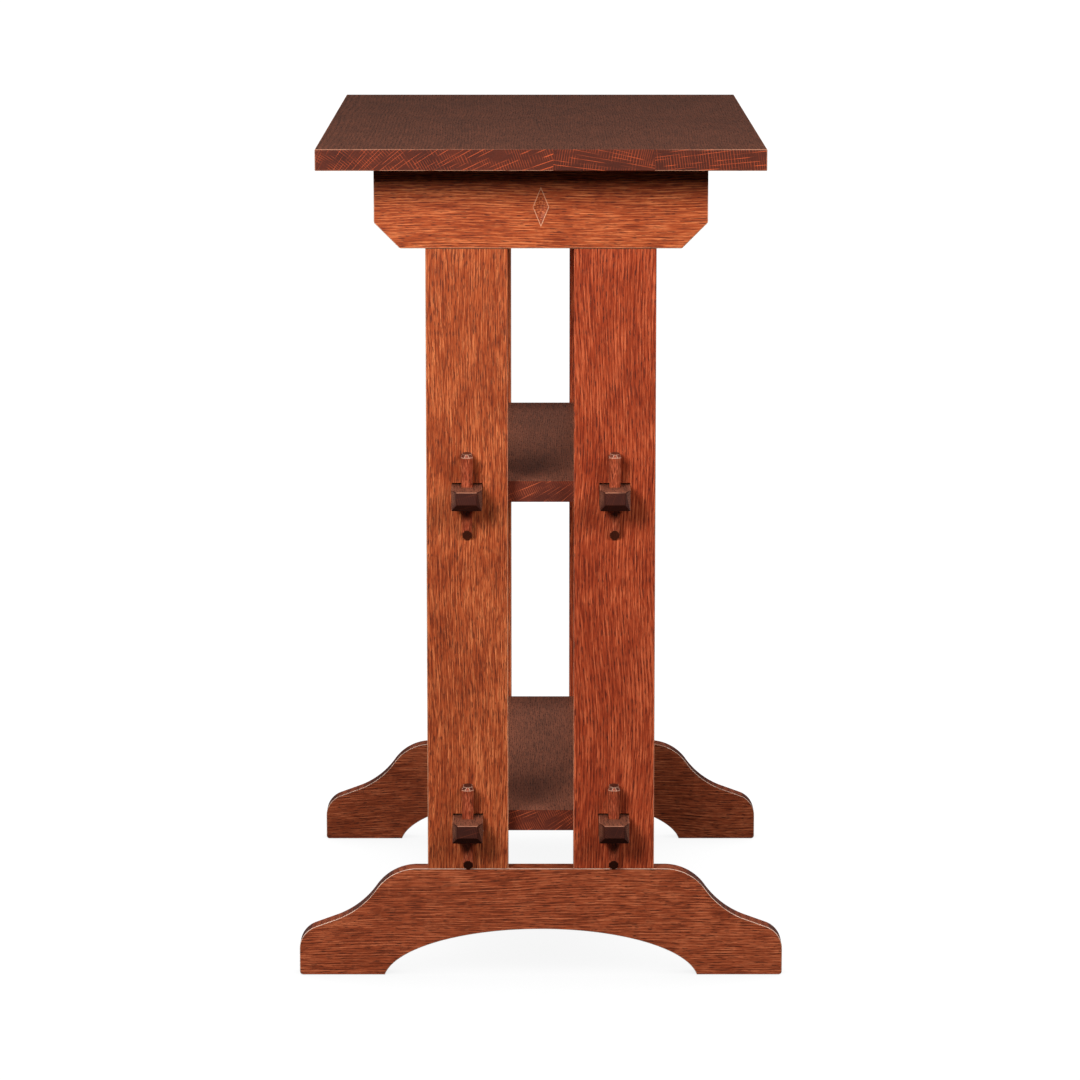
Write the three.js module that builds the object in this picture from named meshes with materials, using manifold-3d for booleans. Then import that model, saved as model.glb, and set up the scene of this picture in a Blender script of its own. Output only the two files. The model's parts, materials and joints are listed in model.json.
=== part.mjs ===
// A knock-down stand for photo albums, in oak. Two end frames, each a shaped foot, two posts and a
// cleat, carry two shelves. The shelves' tenons run through the posts and are locked by loose wedge
// keys. A top glued up from three boards is held down by figure-eight fasteners.
// Millimetres, +Z up, origin on the floor under the middle of the top. The front end faces -Y.

import * as THREE from 'three';
import { ConvexGeometry } from 'three/addons/geometries/ConvexGeometry.js';
import { mergeVertices } from 'three/addons/utils/BufferGeometryUtils.js';
import Module from 'manifold-3d';

const wasm = await Module();
wasm.setup();

// Driving dimensions of the whole stand
const BOARD = 19.05; // every board is three-quarter inch stock
const HEIGHT = 762;
const TOP_WIDTH = 396;
const TOP_LENGTH = 660;
const TOP_SEAMS = [10.8, 99.6]; // where the top's three boards are glued together
const FRAME_SPAN = 539.7; // from the front frame's outer face to the rear frame's
const GAP = 0.3; // between pieces that touch
const ARC_SEGMENTS = 12;

// Foot: toes, ogee shoulders and an arch
const FOOT_HALF = 221;
const FOOT_HEIGHT = 100;
const SEAT_HALF = 113; // half the level stretch that the posts stand on
const CROWN_RADIUS = 45.5;
const CROWN_SLOPE = THREE.MathUtils.degToRad(55);
const HOLLOW_RADIUS = 77.5;
const TOE_SLOPE = THREE.MathUtils.degToRad(20);
const TOE_RADIUS = 22;
const SOLE_RADIUS = 3;
const ARCH_HALF = 143;
const ARCH_RISE = 43;
const ARCH_CENTRE_DROP = 6; // the arch's ellipse is centred this far below the floor

// Posts and the stub tenons at their ends
const POST_WIDTH = 73.6;
const POST_OFFSET = 66.4;
const POST_TOP = 668.5;
const STUB_WIDTH = 54;
const STUB_THICKNESS = 9.5;
const STUB_LENGTH = 30;
const STUB_CLEARANCE = 1; // glue space past the end of a stub tenon

// Cleat
const CLEAT_LENGTH = 297.7;
const CLEAT_CHAMFER = 23;
const LOZENGE_WIDTH = 14;
const LOZENGE_HEIGHT = 34;
const LOZENGE_DEPTH = 3;

// Shelves and their through tenons
const SHELVES = [
  { name: 'upper', surface: 455.4 },
  { name: 'lower', surface: 150.3 },
];
const SHELF_WIDTH = 200;
const TENON_WIDTH = 27.2;
const TENON_REACH = 38; // beyond the post's outer face
const TENON_SIDE_BEVEL = 4.6;
const TENON_UPPER_BEVEL = 1.2;
const TENON_LOWER_BEVEL = 6.4;
const TENON_BEVEL_LENGTH = 7;
const TENON_HEADROOM = 1.4; // left over the tenon where its mortise was cut a little tall

// Wedge keys
const KEY_HEAD_WIDTH = 10.9;
const KEY_FOOT_WIDTH = 8.7;
const KEY_ABOVE = 30; // over the tenon
const KEY_BELOW = 32; // under the tenon
const KEY_HEAD_DEPTH = 20;
const KEY_FOOT_DEPTH = 11;
const KEY_CHAMFER = 3;
const KEY_HEAD_CHAMFER = 3;
const KEY_SLOT_SETBACK = 3; // how far the key's mortise starts inside the post's face

// Figure-eight fasteners and their screws
const FASTENER_OFFSET = 115;
const FASTENER_RADIUS = 8;
const FASTENER_PITCH = 14;
const FASTENER_THICKNESS = 2.3;
const FASTENER_INSET = 6; // of the cleat's screw from the cleat's inner face
const SCREW_RADIUS = 2;
const SCREW_HEAD_RADIUS = 3.8;
const SCREW_LENGTH = 16;
const SCREW_TIP = 3;
const SCREW_SLOT_WIDTH = 1;
const SCREW_SLOT_DEPTH = 0.9;
const SCREW_SIDES = 20;

// Worked out from those
const TOP_UNDERSIDE = HEIGHT - BOARD;
const OUTER_FACE = FRAME_SPAN / 2;
const INNER_FACE = OUTER_FACE - BOARD;
const CLEAT_HEIGHT = TOP_UNDERSIDE - GAP - POST_TOP;
const KEY_LENGTH = KEY_ABOVE + BOARD + KEY_BELOW;
const FASTENER_TOP = TOP_UNDERSIDE - GAP;

const ENDS = [
  { name: 'front', turn: 0, handed: 1 },
  { name: 'rear', turn: Math.PI, handed: -1 },
];
const SIDES = [
  { name: 'left', x: -1 },
  { name: 'right', x: 1 },
];

const oak = (color, roughness) => new THREE.MeshStandardMaterial({ color, roughness, metalness: 0 });
const OAK_FRAME = 0xa6512f;
const OAK_SHELF = 0x583a2e;
const OAK_TOP = 0x5a3e36;
const OAK_KEY = 0x9a4d30;
const ZINC = 0xa8abad;

function toSolid(geometry) {
  const bare = geometry.clone();
  bare.deleteAttribute('normal');
  bare.deleteAttribute('uv');
  const welded = mergeVertices(bare, 1e-4);
  return new wasm.Manifold(new wasm.Mesh({
    numProp: 3,
    vertProperties: new Float32Array(welded.attributes.position.array),
    triVerts: new Uint32Array(welded.index.array),
  }));
}

function toGeometry(solid) {
  const mesh = solid.getMesh();
  const geometry = new THREE.BufferGeometry();
  geometry.setAttribute('position', new THREE.BufferAttribute(mesh.vertProperties, 3));
  geometry.setIndex(new THREE.BufferAttribute(mesh.triVerts, 1));
  geometry.computeVertexNormals();
  return geometry;
}

function piece(name, geometry, material) {
  const mesh = new THREE.Mesh(geometry, material);
  mesh.name = name;
  return mesh;
}

// A block between two values on each axis
function block([x0, x1], [y0, y1], [z0, z1]) {
  const geometry = new THREE.BoxGeometry(x1 - x0, y1 - y0, z1 - z0);
  return toSolid(geometry.translate((x0 + x1) / 2, (y0 + y1) / 2, (z0 + z1) / 2));
}

// A board standing in an end frame: its outline is drawn in X and Z, its thickness runs along Y
function uprightBoard(outline) {
  const geometry = new THREE.ExtrudeGeometry(outline, {
    depth: BOARD,
    bevelEnabled: false,
    curveSegments: ARC_SEGMENTS,
  });
  geometry.rotateX(Math.PI / 2);
  return toSolid(geometry.translate(0, -INNER_FACE, 0));
}

// A solid of revolution about +Z from points of [radius, height]
function turned(points) {
  const profile = points.map(([radius, height]) => new THREE.Vector2(radius, height));
  return toSolid(new THREE.LatheGeometry(profile, SCREW_SIDES).rotateX(Math.PI / 2));
}

// The mortise for a stub tenon that enters through a face at height z, upwards or downwards
function stubMortise(x, z, direction) {
  const half = STUB_WIDTH / 2 + GAP;
  const middle = -(OUTER_FACE + INNER_FACE) / 2;
  const cheek = STUB_THICKNESS / 2 + GAP;
  const reach = z + direction * (STUB_LENGTH + STUB_CLEARANCE);
  const mouth = z - direction * GAP;
  const heights = [Math.min(mouth, reach), Math.max(mouth, reach)];
  return block([x - half, x + half], [middle - cheek, middle + cheek], heights);
}

function footOutline() {
  const outline = new THREE.Shape();
  const crownX = SEAT_HALF + CROWN_RADIUS * Math.sin(CROWN_SLOPE);
  const crownZ = FOOT_HEIGHT - CROWN_RADIUS * (1 - Math.cos(CROWN_SLOPE));
  const hollowX = crownX + HOLLOW_RADIUS * Math.sin(CROWN_SLOPE);
  const hollowZ = crownZ + HOLLOW_RADIUS * Math.cos(CROWN_SLOPE);
  const toeX = FOOT_HALF - TOE_RADIUS;
  // A straight slope joins the hollow to the toe's arc
  const slopeX = hollowX - HOLLOW_RADIUS * Math.sin(TOE_SLOPE);
  const slopeZ = hollowZ - HOLLOW_RADIUS * Math.cos(TOE_SLOPE);
  const slopeRun = toeX + TOE_RADIUS * Math.sin(TOE_SLOPE) - slopeX;
  const toeZ = slopeZ - slopeRun * Math.tan(TOE_SLOPE) - TOE_RADIUS * Math.cos(TOE_SLOPE);
  const soleX = FOOT_HALF - SOLE_RADIUS;
  const right = Math.PI / 2;
  const archRadiusZ = ARCH_RISE + ARCH_CENTRE_DROP;
  const archRadiusX = ARCH_HALF / Math.sqrt(1 - (ARCH_CENTRE_DROP / archRadiusZ) ** 2);
  const archStart = Math.asin(ARCH_CENTRE_DROP / archRadiusZ);

  outline.moveTo(SEAT_HALF, FOOT_HEIGHT);
  outline.absarc(SEAT_HALF, FOOT_HEIGHT - CROWN_RADIUS, CROWN_RADIUS, right, right - CROWN_SLOPE, true);
  outline.absarc(hollowX, hollowZ, HOLLOW_RADIUS, -right - CROWN_SLOPE, -right - TOE_SLOPE, false);
  outline.absarc(toeX, toeZ, TOE_RADIUS, right - TOE_SLOPE, 0, true);
  outline.absarc(soleX, SOLE_RADIUS, SOLE_RADIUS, 0, -right, true);
  outline.absellipse(0, -ARCH_CENTRE_DROP, archRadiusX, archRadiusZ, archStart, Math.PI - archStart, false, 0);
  outline.absarc(-soleX, SOLE_RADIUS, SOLE_RADIUS, -right, -2 * right, true);
  outline.absarc(-toeX, toeZ, TOE_RADIUS, 2 * right, right + TOE_SLOPE, true);
  outline.absarc(-hollowX, hollowZ, HOLLOW_RADIUS, -right + TOE_SLOPE, -right + CROWN_SLOPE, false);
  outline.absarc(-SEAT_HALF, FOOT_HEIGHT - CROWN_RADIUS, CROWN_RADIUS, right + CROWN_SLOPE, right, true);
  return outline;
}

function footSolid() {
  return SIDES.reduce(
    (foot, side) => foot.subtract(stubMortise(side.x * POST_OFFSET, FOOT_HEIGHT, -1)),
    uprightBoard(footOutline()),
  );
}

function postSolid(x) {
  const across = [x - POST_WIDTH / 2, x + POST_WIDTH / 2];
  const foot = FOOT_HEIGHT + GAP;
  const head = POST_TOP - GAP;
  const middle = -(OUTER_FACE + INNER_FACE) / 2;
  const board = block(across, [-OUTER_FACE, -INNER_FACE], [foot, head]);
  const stubs = block(
    [x - STUB_WIDTH / 2, x + STUB_WIDTH / 2],
    [middle - STUB_THICKNESS / 2, middle + STUB_THICKNESS / 2],
    [foot - STUB_LENGTH, head + STUB_LENGTH],
  );
  const half = TENON_WIDTH / 2 + GAP;
  return SHELVES.reduce(
    (post, shelf) => post.subtract(block(
      [x - half, x + half],
      [-OUTER_FACE - BOARD, -INNER_FACE + BOARD],
      [shelf.surface - BOARD - GAP, shelf.surface + TENON_HEADROOM],
    )),
    board.add(stubs),
  );
}

// A lozenge-shaped pocket with four sloping sides, cut into the face at -OUTER_FACE
function lozengeCut() {
  const proud = 1;
  const spread = 1 + proud / LOZENGE_DEPTH;
  const middle = POST_TOP + CLEAT_HEIGHT / 2;
  const y = -OUTER_FACE - proud;
  return toSolid(new ConvexGeometry([
    new THREE.Vector3(-LOZENGE_WIDTH / 2 * spread, y, middle),
    new THREE.Vector3(LOZENGE_WIDTH / 2 * spread, y, middle),
    new THREE.Vector3(0, y, middle - LOZENGE_HEIGHT / 2 * spread),
    new THREE.Vector3(0, y, middle + LOZENGE_HEIGHT / 2 * spread),
    new THREE.Vector3(0, -OUTER_FACE + LOZENGE_DEPTH, middle),
  ]));
}

function cleatSolid() {
  const half = CLEAT_LENGTH / 2;
  const head = POST_TOP + CLEAT_HEIGHT;
  const outline = new THREE.Shape([
    new THREE.Vector2(half - CLEAT_CHAMFER, POST_TOP),
    new THREE.Vector2(half, POST_TOP + CLEAT_CHAMFER),
    new THREE.Vector2(half, head),
    new THREE.Vector2(-half, head),
    new THREE.Vector2(-half, POST_TOP + CLEAT_CHAMFER),
    new THREE.Vector2(-half + CLEAT_CHAMFER, POST_TOP),
  ]);
  return SIDES.reduce(
    (cleat, side) => cleat
      .subtract(stubMortise(side.x * POST_OFFSET, POST_TOP, 1))
      .subtract(fastenerBlank(side.x * FASTENER_OFFSET, GAP))
      .subtract(screwSolid(GAP).rotate([180, 0, 0]).translate([
        side.x * FASTENER_OFFSET, -INNER_FACE - FASTENER_INSET, FASTENER_TOP,
      ])),
    uprightBoard(outline),
  );
}

// The figure-eight plate without its screw holes, grown by a clearance
function fastenerBlank(x, clearance) {
  const radius = FASTENER_RADIUS + clearance;
  const waist = Math.acos(FASTENER_PITCH / 2 / radius);
  const right = Math.PI / 2;
  const outline = new THREE.Shape();
  outline.absarc(0, 0, radius, right + waist, 5 * right - waist, false);
  outline.absarc(0, FASTENER_PITCH, radius, waist - right, 3 * right - waist, false);
  const geometry = new THREE.ExtrudeGeometry(outline, {
    depth: FASTENER_THICKNESS + 2 * clearance,
    bevelEnabled: false,
    curveSegments: 2 * ARC_SEGMENTS,
  });
  const bottom = FASTENER_TOP - FASTENER_THICKNESS - clearance;
  return toSolid(geometry.translate(x, -INNER_FACE - FASTENER_INSET, bottom));
}

function fastenerSolid(x) {
  const cleatScrew = [x, -INNER_FACE - FASTENER_INSET, FASTENER_TOP];
  const topScrew = [x, cleatScrew[1] + FASTENER_PITCH, FASTENER_TOP - FASTENER_THICKNESS];
  return fastenerBlank(x, 0)
    .subtract(screwSolid(GAP).rotate([180, 0, 0]).translate(cleatScrew))
    .subtract(screwSolid(GAP).translate(topScrew));
}

// A countersunk wood screw with its head's face at z = 0 and its tip up, grown by a clearance
function screwSolid(clearance) {
  const head = SCREW_HEAD_RADIUS + clearance;
  const shank = SCREW_RADIUS + clearance;
  const length = SCREW_LENGTH + clearance;
  return turned([
    [0, -clearance],
    [head, -clearance],
    [head, 0],
    [shank, SCREW_HEAD_RADIUS - SCREW_RADIUS],
    [shank, length - SCREW_TIP],
    [0, length],
  ]);
}

function slottedScrew() {
  const reach = 2 * SCREW_HEAD_RADIUS;
  const slotHalf = SCREW_SLOT_WIDTH / 2;
  const head = SCREW_HEAD_RADIUS;
  const shank = SCREW_RADIUS;
  const body = turned([
    [0, 0],
    [head, 0],
    [shank, head - shank],
    [shank, SCREW_LENGTH - SCREW_TIP],
    [0, SCREW_LENGTH],
  ]);
  return body.subtract(block([-reach, reach], [-slotHalf, slotHalf], [-reach, SCREW_SLOT_DEPTH]));
}

// The key's depth from the post's face, and its width, at a height over its lower end
const alongKey = (foot, head, height) => THREE.MathUtils.lerp(foot, head, height / KEY_LENGTH);
const keyDepth = (height) => alongKey(KEY_FOOT_DEPTH, KEY_HEAD_DEPTH, height);
const keyWidth = (height) => alongKey(KEY_FOOT_WIDTH, KEY_HEAD_WIDTH, height);

// A wedge key of the front frame: eight-sided, flat against the post, tapered on its other faces.
// Its lower end is cut at 45 degrees and its head is chamfered all round.
function keySolid(x, surface) {
  const foot = surface - BOARD - KEY_BELOW;
  const back = -OUTER_FACE - GAP;
  const corners = [];
  const ring = (height, inset, slope) => {
    const half = keyWidth(height) / 2 - inset;
    const depth = keyDepth(height) - GAP;
    const outline = [
      [half, inset + KEY_CHAMFER],
      [half - KEY_CHAMFER, inset],
      [half - KEY_CHAMFER, depth - inset],
      [half, depth - inset - KEY_CHAMFER],
    ];
    for (const [side, out] of outline) {
      const z = foot + height + slope * out;
      corners.push(new THREE.Vector3(x - side, back - out, z), new THREE.Vector3(x + side, back - out, z));
    }
  };
  ring(0, 0, 1);
  ring(KEY_LENGTH - KEY_HEAD_CHAMFER, 0, 0);
  ring(KEY_LENGTH, KEY_HEAD_CHAMFER / 2, 0);
  return toSolid(new ConvexGeometry(corners));
}

// The tapered mortise through a tenon that the key drives into
function keyMortise(x, surface) {
  const half = keyWidth(KEY_BELOW + BOARD) / 2 + GAP;
  const overrun = 5;
  const inner = -OUTER_FACE + KEY_SLOT_SETBACK;
  const corners = [];
  for (const height of [KEY_BELOW - overrun, KEY_BELOW + BOARD + overrun]) {
    const z = surface - BOARD - KEY_BELOW + height;
    const outer = -OUTER_FACE - keyDepth(height) - GAP;
    for (const across of [x - half, x + half]) {
      corners.push(new THREE.Vector3(across, inner, z), new THREE.Vector3(across, outer, z));
    }
  }
  return toSolid(new ConvexGeometry(corners));
}

// A through tenon at the front end, with the pyramid-shaped tip that stands proud of the post
function tenonSolid(x, surface) {
  const tip = -OUTER_FACE - TENON_REACH;
  const corners = [];
  const section = (y, sideInset, lowerInset, upperInset) => {
    for (const across of [-1, 1]) {
      for (const z of [surface - BOARD + lowerInset, surface - upperInset]) {
        corners.push(new THREE.Vector3(x + across * (TENON_WIDTH / 2 - sideInset), y, z));
      }
    }
  };
  section(-INNER_FACE + BOARD, 0, 0, 0);
  section(tip + TENON_BEVEL_LENGTH, 0, 0, 0);
  section(tip, TENON_SIDE_BEVEL, TENON_LOWER_BEVEL, TENON_UPPER_BEVEL);
  return toSolid(new ConvexGeometry(corners)).subtract(keyMortise(x, surface));
}

function shelfSolid(surface) {
  const shoulder = INNER_FACE - GAP;
  const half = SHELF_WIDTH / 2;
  const board = block([-half, half], [-shoulder, shoulder], [surface - BOARD, surface]);
  return ENDS.reduce(
    (shelf, end) => SIDES.reduce(
      (joined, side) => {
        const tenon = tenonSolid(side.x * POST_OFFSET, surface);
        return joined.add(end.turn ? tenon.rotate([0, 0, 180]) : tenon);
      },
      shelf,
    ),
    board,
  );
}

// One board of the top, with pilot holes for the fasteners' screws that reach it
function topBoardSolid(x0, x1) {
  let board = block([x0, x1], [-TOP_LENGTH / 2, TOP_LENGTH / 2], [TOP_UNDERSIDE, HEIGHT]);
  const screwY = INNER_FACE + FASTENER_INSET - FASTENER_PITCH;
  for (const end of ENDS) {
    for (const side of SIDES) {
      const x = side.x * FASTENER_OFFSET;
      if (x > x0 && x < x1) {
        const place = [x, -end.handed * screwY, FASTENER_TOP - FASTENER_THICKNESS];
        board = board.subtract(screwSolid(GAP).translate(place));
      }
    }
  }
  return board;
}

function endFrame(end) {
  const frame = new THREE.Group();
  const cleat = end.name === 'front' ? cleatSolid().subtract(lozengeCut()) : cleatSolid();
  frame.add(
    piece(`foot_${end.name}`, toGeometry(footSolid()), oak(OAK_FRAME, 0.45)),
    piece(`cleat_${end.name}`, toGeometry(cleat), oak(OAK_FRAME, 0.45)),
  );
  for (const side of SIDES) {
    const hand = side.x * end.handed; // the side in the frame's own coordinates, before it is turned
    const place = `${end.name}_${side.name}`;
    const fastenerX = hand * FASTENER_OFFSET;
    const cleatScrewY = -INNER_FACE - FASTENER_INSET;
    const steel = new THREE.MeshStandardMaterial({ color: ZINC, roughness: 0.35, metalness: 1 });
    const down = piece(`cleat_screw_${place}`, toGeometry(slottedScrew()), steel.clone());
    const up = piece(`top_screw_${place}`, toGeometry(slottedScrew()), steel.clone());
    down.rotation.x = Math.PI;
    down.position.set(fastenerX, cleatScrewY, FASTENER_TOP);
    up.position.set(fastenerX, cleatScrewY + FASTENER_PITCH, FASTENER_TOP - FASTENER_THICKNESS);
    frame.add(
      piece(`post_${place}`, toGeometry(postSolid(hand * POST_OFFSET)), oak(OAK_FRAME, 0.45)),
      piece(`fastener_${place}`, toGeometry(fastenerSolid(fastenerX)), steel),
      down,
      up,
    );
    for (const shelf of SHELVES) {
      const key = keySolid(hand * POST_OFFSET, shelf.surface);
      frame.add(piece(`key_${end.name}_${shelf.name}_${side.name}`, toGeometry(key), oak(OAK_KEY, 0.5)));
    }
  }
  frame.rotation.z = end.turn;
  return frame;
}

function shelves() {
  const group = new THREE.Group();
  for (const shelf of SHELVES) {
    group.add(piece(`shelf_${shelf.name}`, toGeometry(shelfSolid(shelf.surface)), oak(OAK_SHELF, 0.5)));
  }
  return group;
}

function top() {
  const group = new THREE.Group();
  const edges = [-TOP_WIDTH / 2, ...TOP_SEAMS, TOP_WIDTH / 2];
  ['left', 'middle', 'right'].forEach((name, i) => {
    const x0 = edges[i] + (i > 0 ? GAP / 2 : 0);
    const x1 = edges[i + 1] - (i < 2 ? GAP / 2 : 0);
    group.add(piece(`top_board_${name}`, toGeometry(topBoardSolid(x0, x1)), oak(OAK_TOP, 0.5)));
  });
  return group;
}

const group = new THREE.Group();
ENDS.forEach((end) => group.add(endFrame(end)));
group.add(shelves(), top());

export default group;
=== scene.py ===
"""A knock-down oak stand for photo albums: two end frames, two shelves with through tenons locked
by loose wedge keys, and a top held down by figure-eight fasteners.

Metres, +Z up, front end facing -Y. MM turns the maker's millimetres into metres."""
import json
import math

import bmesh
import bpy
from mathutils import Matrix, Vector

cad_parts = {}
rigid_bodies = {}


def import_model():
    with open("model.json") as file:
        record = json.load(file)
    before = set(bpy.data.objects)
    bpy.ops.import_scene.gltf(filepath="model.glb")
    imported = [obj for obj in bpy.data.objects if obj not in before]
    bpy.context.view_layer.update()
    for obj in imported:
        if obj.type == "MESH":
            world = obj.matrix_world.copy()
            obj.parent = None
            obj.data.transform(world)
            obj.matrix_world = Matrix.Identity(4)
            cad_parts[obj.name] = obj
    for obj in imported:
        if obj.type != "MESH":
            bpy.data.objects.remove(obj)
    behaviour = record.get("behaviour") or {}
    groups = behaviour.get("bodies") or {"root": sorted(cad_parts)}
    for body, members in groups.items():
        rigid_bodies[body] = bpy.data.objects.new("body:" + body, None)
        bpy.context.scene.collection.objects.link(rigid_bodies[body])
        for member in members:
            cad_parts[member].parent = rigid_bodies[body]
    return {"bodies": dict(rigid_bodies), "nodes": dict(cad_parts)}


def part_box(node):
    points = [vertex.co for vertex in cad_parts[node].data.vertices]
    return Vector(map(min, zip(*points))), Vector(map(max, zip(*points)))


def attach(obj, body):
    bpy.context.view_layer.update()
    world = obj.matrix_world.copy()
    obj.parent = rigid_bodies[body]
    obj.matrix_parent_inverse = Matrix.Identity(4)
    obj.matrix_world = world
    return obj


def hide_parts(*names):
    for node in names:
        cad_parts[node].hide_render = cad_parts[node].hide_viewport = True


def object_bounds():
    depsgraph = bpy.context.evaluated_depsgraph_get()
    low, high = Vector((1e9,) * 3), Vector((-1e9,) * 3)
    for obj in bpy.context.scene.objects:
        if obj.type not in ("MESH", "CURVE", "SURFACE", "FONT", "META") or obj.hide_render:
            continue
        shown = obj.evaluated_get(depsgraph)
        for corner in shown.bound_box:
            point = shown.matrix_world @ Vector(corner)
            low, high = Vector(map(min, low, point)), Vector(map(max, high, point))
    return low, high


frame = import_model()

CAD_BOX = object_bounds()
MM = 0.001
QUARTER = math.pi / 2
ENDS = {"front": -1, "rear": 1}
SIDES = ("left", "right")
GAP = 0.3 * MM  # the air in a joint or a glue line, and how near two places count as one

# The top's sides and its two glue lines
TOP_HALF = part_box("top_board_right")[1].x
SEAMS = [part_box("top_board_left")[1].x + GAP / 2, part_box("top_board_right")[0].x - GAP / 2]

# The foot's outline
FOOT_HALF = 221 * MM
FOOT_HEIGHT = 100 * MM
SEAT_HALF = 113 * MM
CROWN_RADIUS = 45.5 * MM
CROWN_SLOPE = math.radians(55)
HOLLOW_RADIUS = 77.5 * MM
TOE_SLOPE = math.radians(20)
TOE_RADIUS = 22 * MM
SOLE_RADIUS = 3 * MM
ARCH_HALF = 143 * MM
ARCH_RISE = 43 * MM
ARCH_CENTRE_DROP = 6 * MM
SAW_STEP = 1.2 * MM  # how far apart the outline's points are

# Stub tenons' pockets in a foot
POCKET_WIDTH = 54.6 * MM
POCKET_THICKNESS = 10.1 * MM
POCKET_DEPTH = 31 * MM

# Wedge keys
KEY_HEAD_WIDTH = 10.9 * MM
KEY_FOOT_WIDTH = 8.7 * MM
KEY_HEAD_DEPTH = 20 * MM - GAP
KEY_FOOT_DEPTH = 11 * MM - GAP
KEY_CORNER = 3 * MM
KEY_CROWN = 3 * MM

# Screws
SCREW_HEAD = 3.8 * MM
SCREW_SHANK = 2 * MM
SCREW_LENGTH = 16 * MM
SCREW_TIP = 3 * MM
SCREW_SLOT = 1 * MM
SCREW_SLOT_DEPTH = 0.9 * MM
SCREW_SIDES = 28
SLOT_TURN = 0.6

# How round the edges are rubbed
FOOT_EDGE = 1.5 * MM
BOARD_EDGE = 0.9 * MM
SHELF_EDGE = 0.7 * MM
MARK_EDGE = 0.5 * MM
KEY_EDGE = 0.45 * MM

# How far down the edges take the pale colour of wear and painted highlight glint, from a shelf's
# top and from below a key's crown
SHELF_GLINT_AND_WEAR_DEPTH = 2 * MM
KEY_GLINT_AND_WEAR_DEPTH = 0.6 * MM

WELD = 0.002 * MM  # points nearer than this are one
HAIR = 0.01 * MM  # what rounding may move a point

# Angles between two faces: one plane up to the first, an edge worth rounding over the second, and
# an edge that stays crisp over the third
ONE_PLANE = math.radians(0.5)
EDGE = math.radians(15)
CRISP = math.radians(38)

# Parts of the cleats and shelves that are told apart by place
MARK_HALF = 10 * MM  # the lozenge keeps within this of the cleat's middle
MARK_MARGIN = 10 * MM  # and this far from the cleat's upper and lower edges
FASTENER_DEPTH = 5 * MM  # the fasteners' pockets keep within this of the cleat's upper edge
POSTS_HALF = 110 * MM  # the posts' pockets keep within this of the cleat's middle
PROUD = 22 * MM  # a tenon past this from its shoulder shows outside the post
TIP = 5 * MM  # how much of a tenon its bevelled tip takes
TENON_SIDE = 30 * MM  # a tenon's side edges are longer than this

# Lights: place, width and height, and the brightness that each gives to a white card at LIT
LIGHTS = {
    "key light": ((-0.80, -1.80, 1.40), (0.7, 0.65), 0.78),
    "fill light": ((1.25, -1.80, 1.57), (0.7, 0.65), 0.42),
    "left back light": ((-2.3, 1.1, 1.3), (1.2, 0.9), 0.4),
    "right back light": ((2.3, 1.1, 1.3), (1.2, 0.9), 0.4),
}
LIT = Vector((0, 0, 0.45))
ROOM_GLOW = 0.02
BACK_WALL_GLOW = 0.05
FLOOR_HALF = 8.0
FLOOR_GLOW = 0.84
OPEN_FLOOR_GLOW = 0.22  # what the paper gains where nothing stands near it
SHADE_REACH = 0.3
PAPER_GREY = (0.05, 0.05, 0.05, 1)
WHITE = (1, 1, 1, 1)

CAMERA_PLACE = (-0.0041, -4.1519, 1.0858)
CAMERA_AIM = (-0.0008, -0.27, 0.4048)
CAMERA_LENS = 145.74
CAMERA_SENSOR = 36


class Field:
    """The value of one socket. Sums and products of fields add Math nodes to their tree."""

    def __init__(self, wiring, socket):
        self.wiring = wiring
        self.socket = socket

    def math(self, operation, *others):
        node = self.wiring.tree.nodes.new("ShaderNodeMath")
        node.operation = operation
        for socket, value in zip(node.inputs, (self, *others)):
            self.wiring.feed(socket, value)
        return Field(self.wiring, node.outputs[0])

    def __add__(self, other):
        return self.math("ADD", other)

    def __sub__(self, other):
        return self.math("SUBTRACT", other)

    def __mul__(self, other):
        return self.math("MULTIPLY", other)

    def __truediv__(self, other):
        return self.math("DIVIDE", other)

    def __rsub__(self, other):
        return self.math("MULTIPLY_ADD", -1, other)

    __radd__ = __add__

    def ramp(self, low, high, start=0, end=1):
        """Runs smoothly from start to end as this value goes from low to high."""
        values = {"Value": self, "From Min": low, "From Max": high, "To Min": start, "To Max": end}
        return self.wiring.node("ShaderNodeMapRange", values, interpolation_type="SMOOTHSTEP")


class Wiring:
    """A node tree, with short ways to add nodes and to join them."""

    SEED_STEPS = (1.7, 3.1, 2.3)  # how far one seed moves a noise along X, Y and Z

    def __init__(self, tree):
        self.tree = tree

    def feed(self, socket, value):
        if isinstance(value, Field):
            self.tree.links.new(value.socket, socket)
        else:
            socket.default_value = value

    def node(self, kind, inputs, output=0, **settings):
        """Adds a node, fills its inputs by name or number, and returns one output as a field."""
        made = self.tree.nodes.new(kind)
        for name, value in settings.items():
            setattr(made, name, value)
        for key, value in inputs.items():
            self.feed(made.inputs[key], value)
        return Field(self, made.outputs[output]) if made.outputs else None

    def parts(self, vector):
        """The three components of a vector field."""
        first = self.node("ShaderNodeSeparateXYZ", {0: vector})
        return [Field(self, socket) for socket in first.socket.node.outputs]

    def vector(self, x, y, z):
        return self.node("ShaderNodeCombineXYZ", {0: x, 1: y, 2: z})

    def mix(self, factor, first, second):
        """A colour between two others. 6 and 7 are a Mix node's colour inputs, 2 its colour output."""
        inputs = {"Factor": factor, 6: first, 7: second}
        return self.node("ShaderNodeMix", inputs, 2, data_type="RGBA")

    def noise(self, point, sizes, seed, detail=2.0, roughness=0.5, output="Fac"):
        """Noise about 0.5 whose grains have the given sizes along the point's three parts."""
        steps = [seed * step for step in self.SEED_STEPS]
        places = [part * (1 / size) + step for part, size, step in zip(point, sizes, steps)]
        inputs = {
            "Vector": self.vector(*places),
            "Scale": 1.0,
            "Detail": detail,
            "Roughness": roughness,
        }
        return self.node("ShaderNodeTexNoise", inputs, output)


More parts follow.
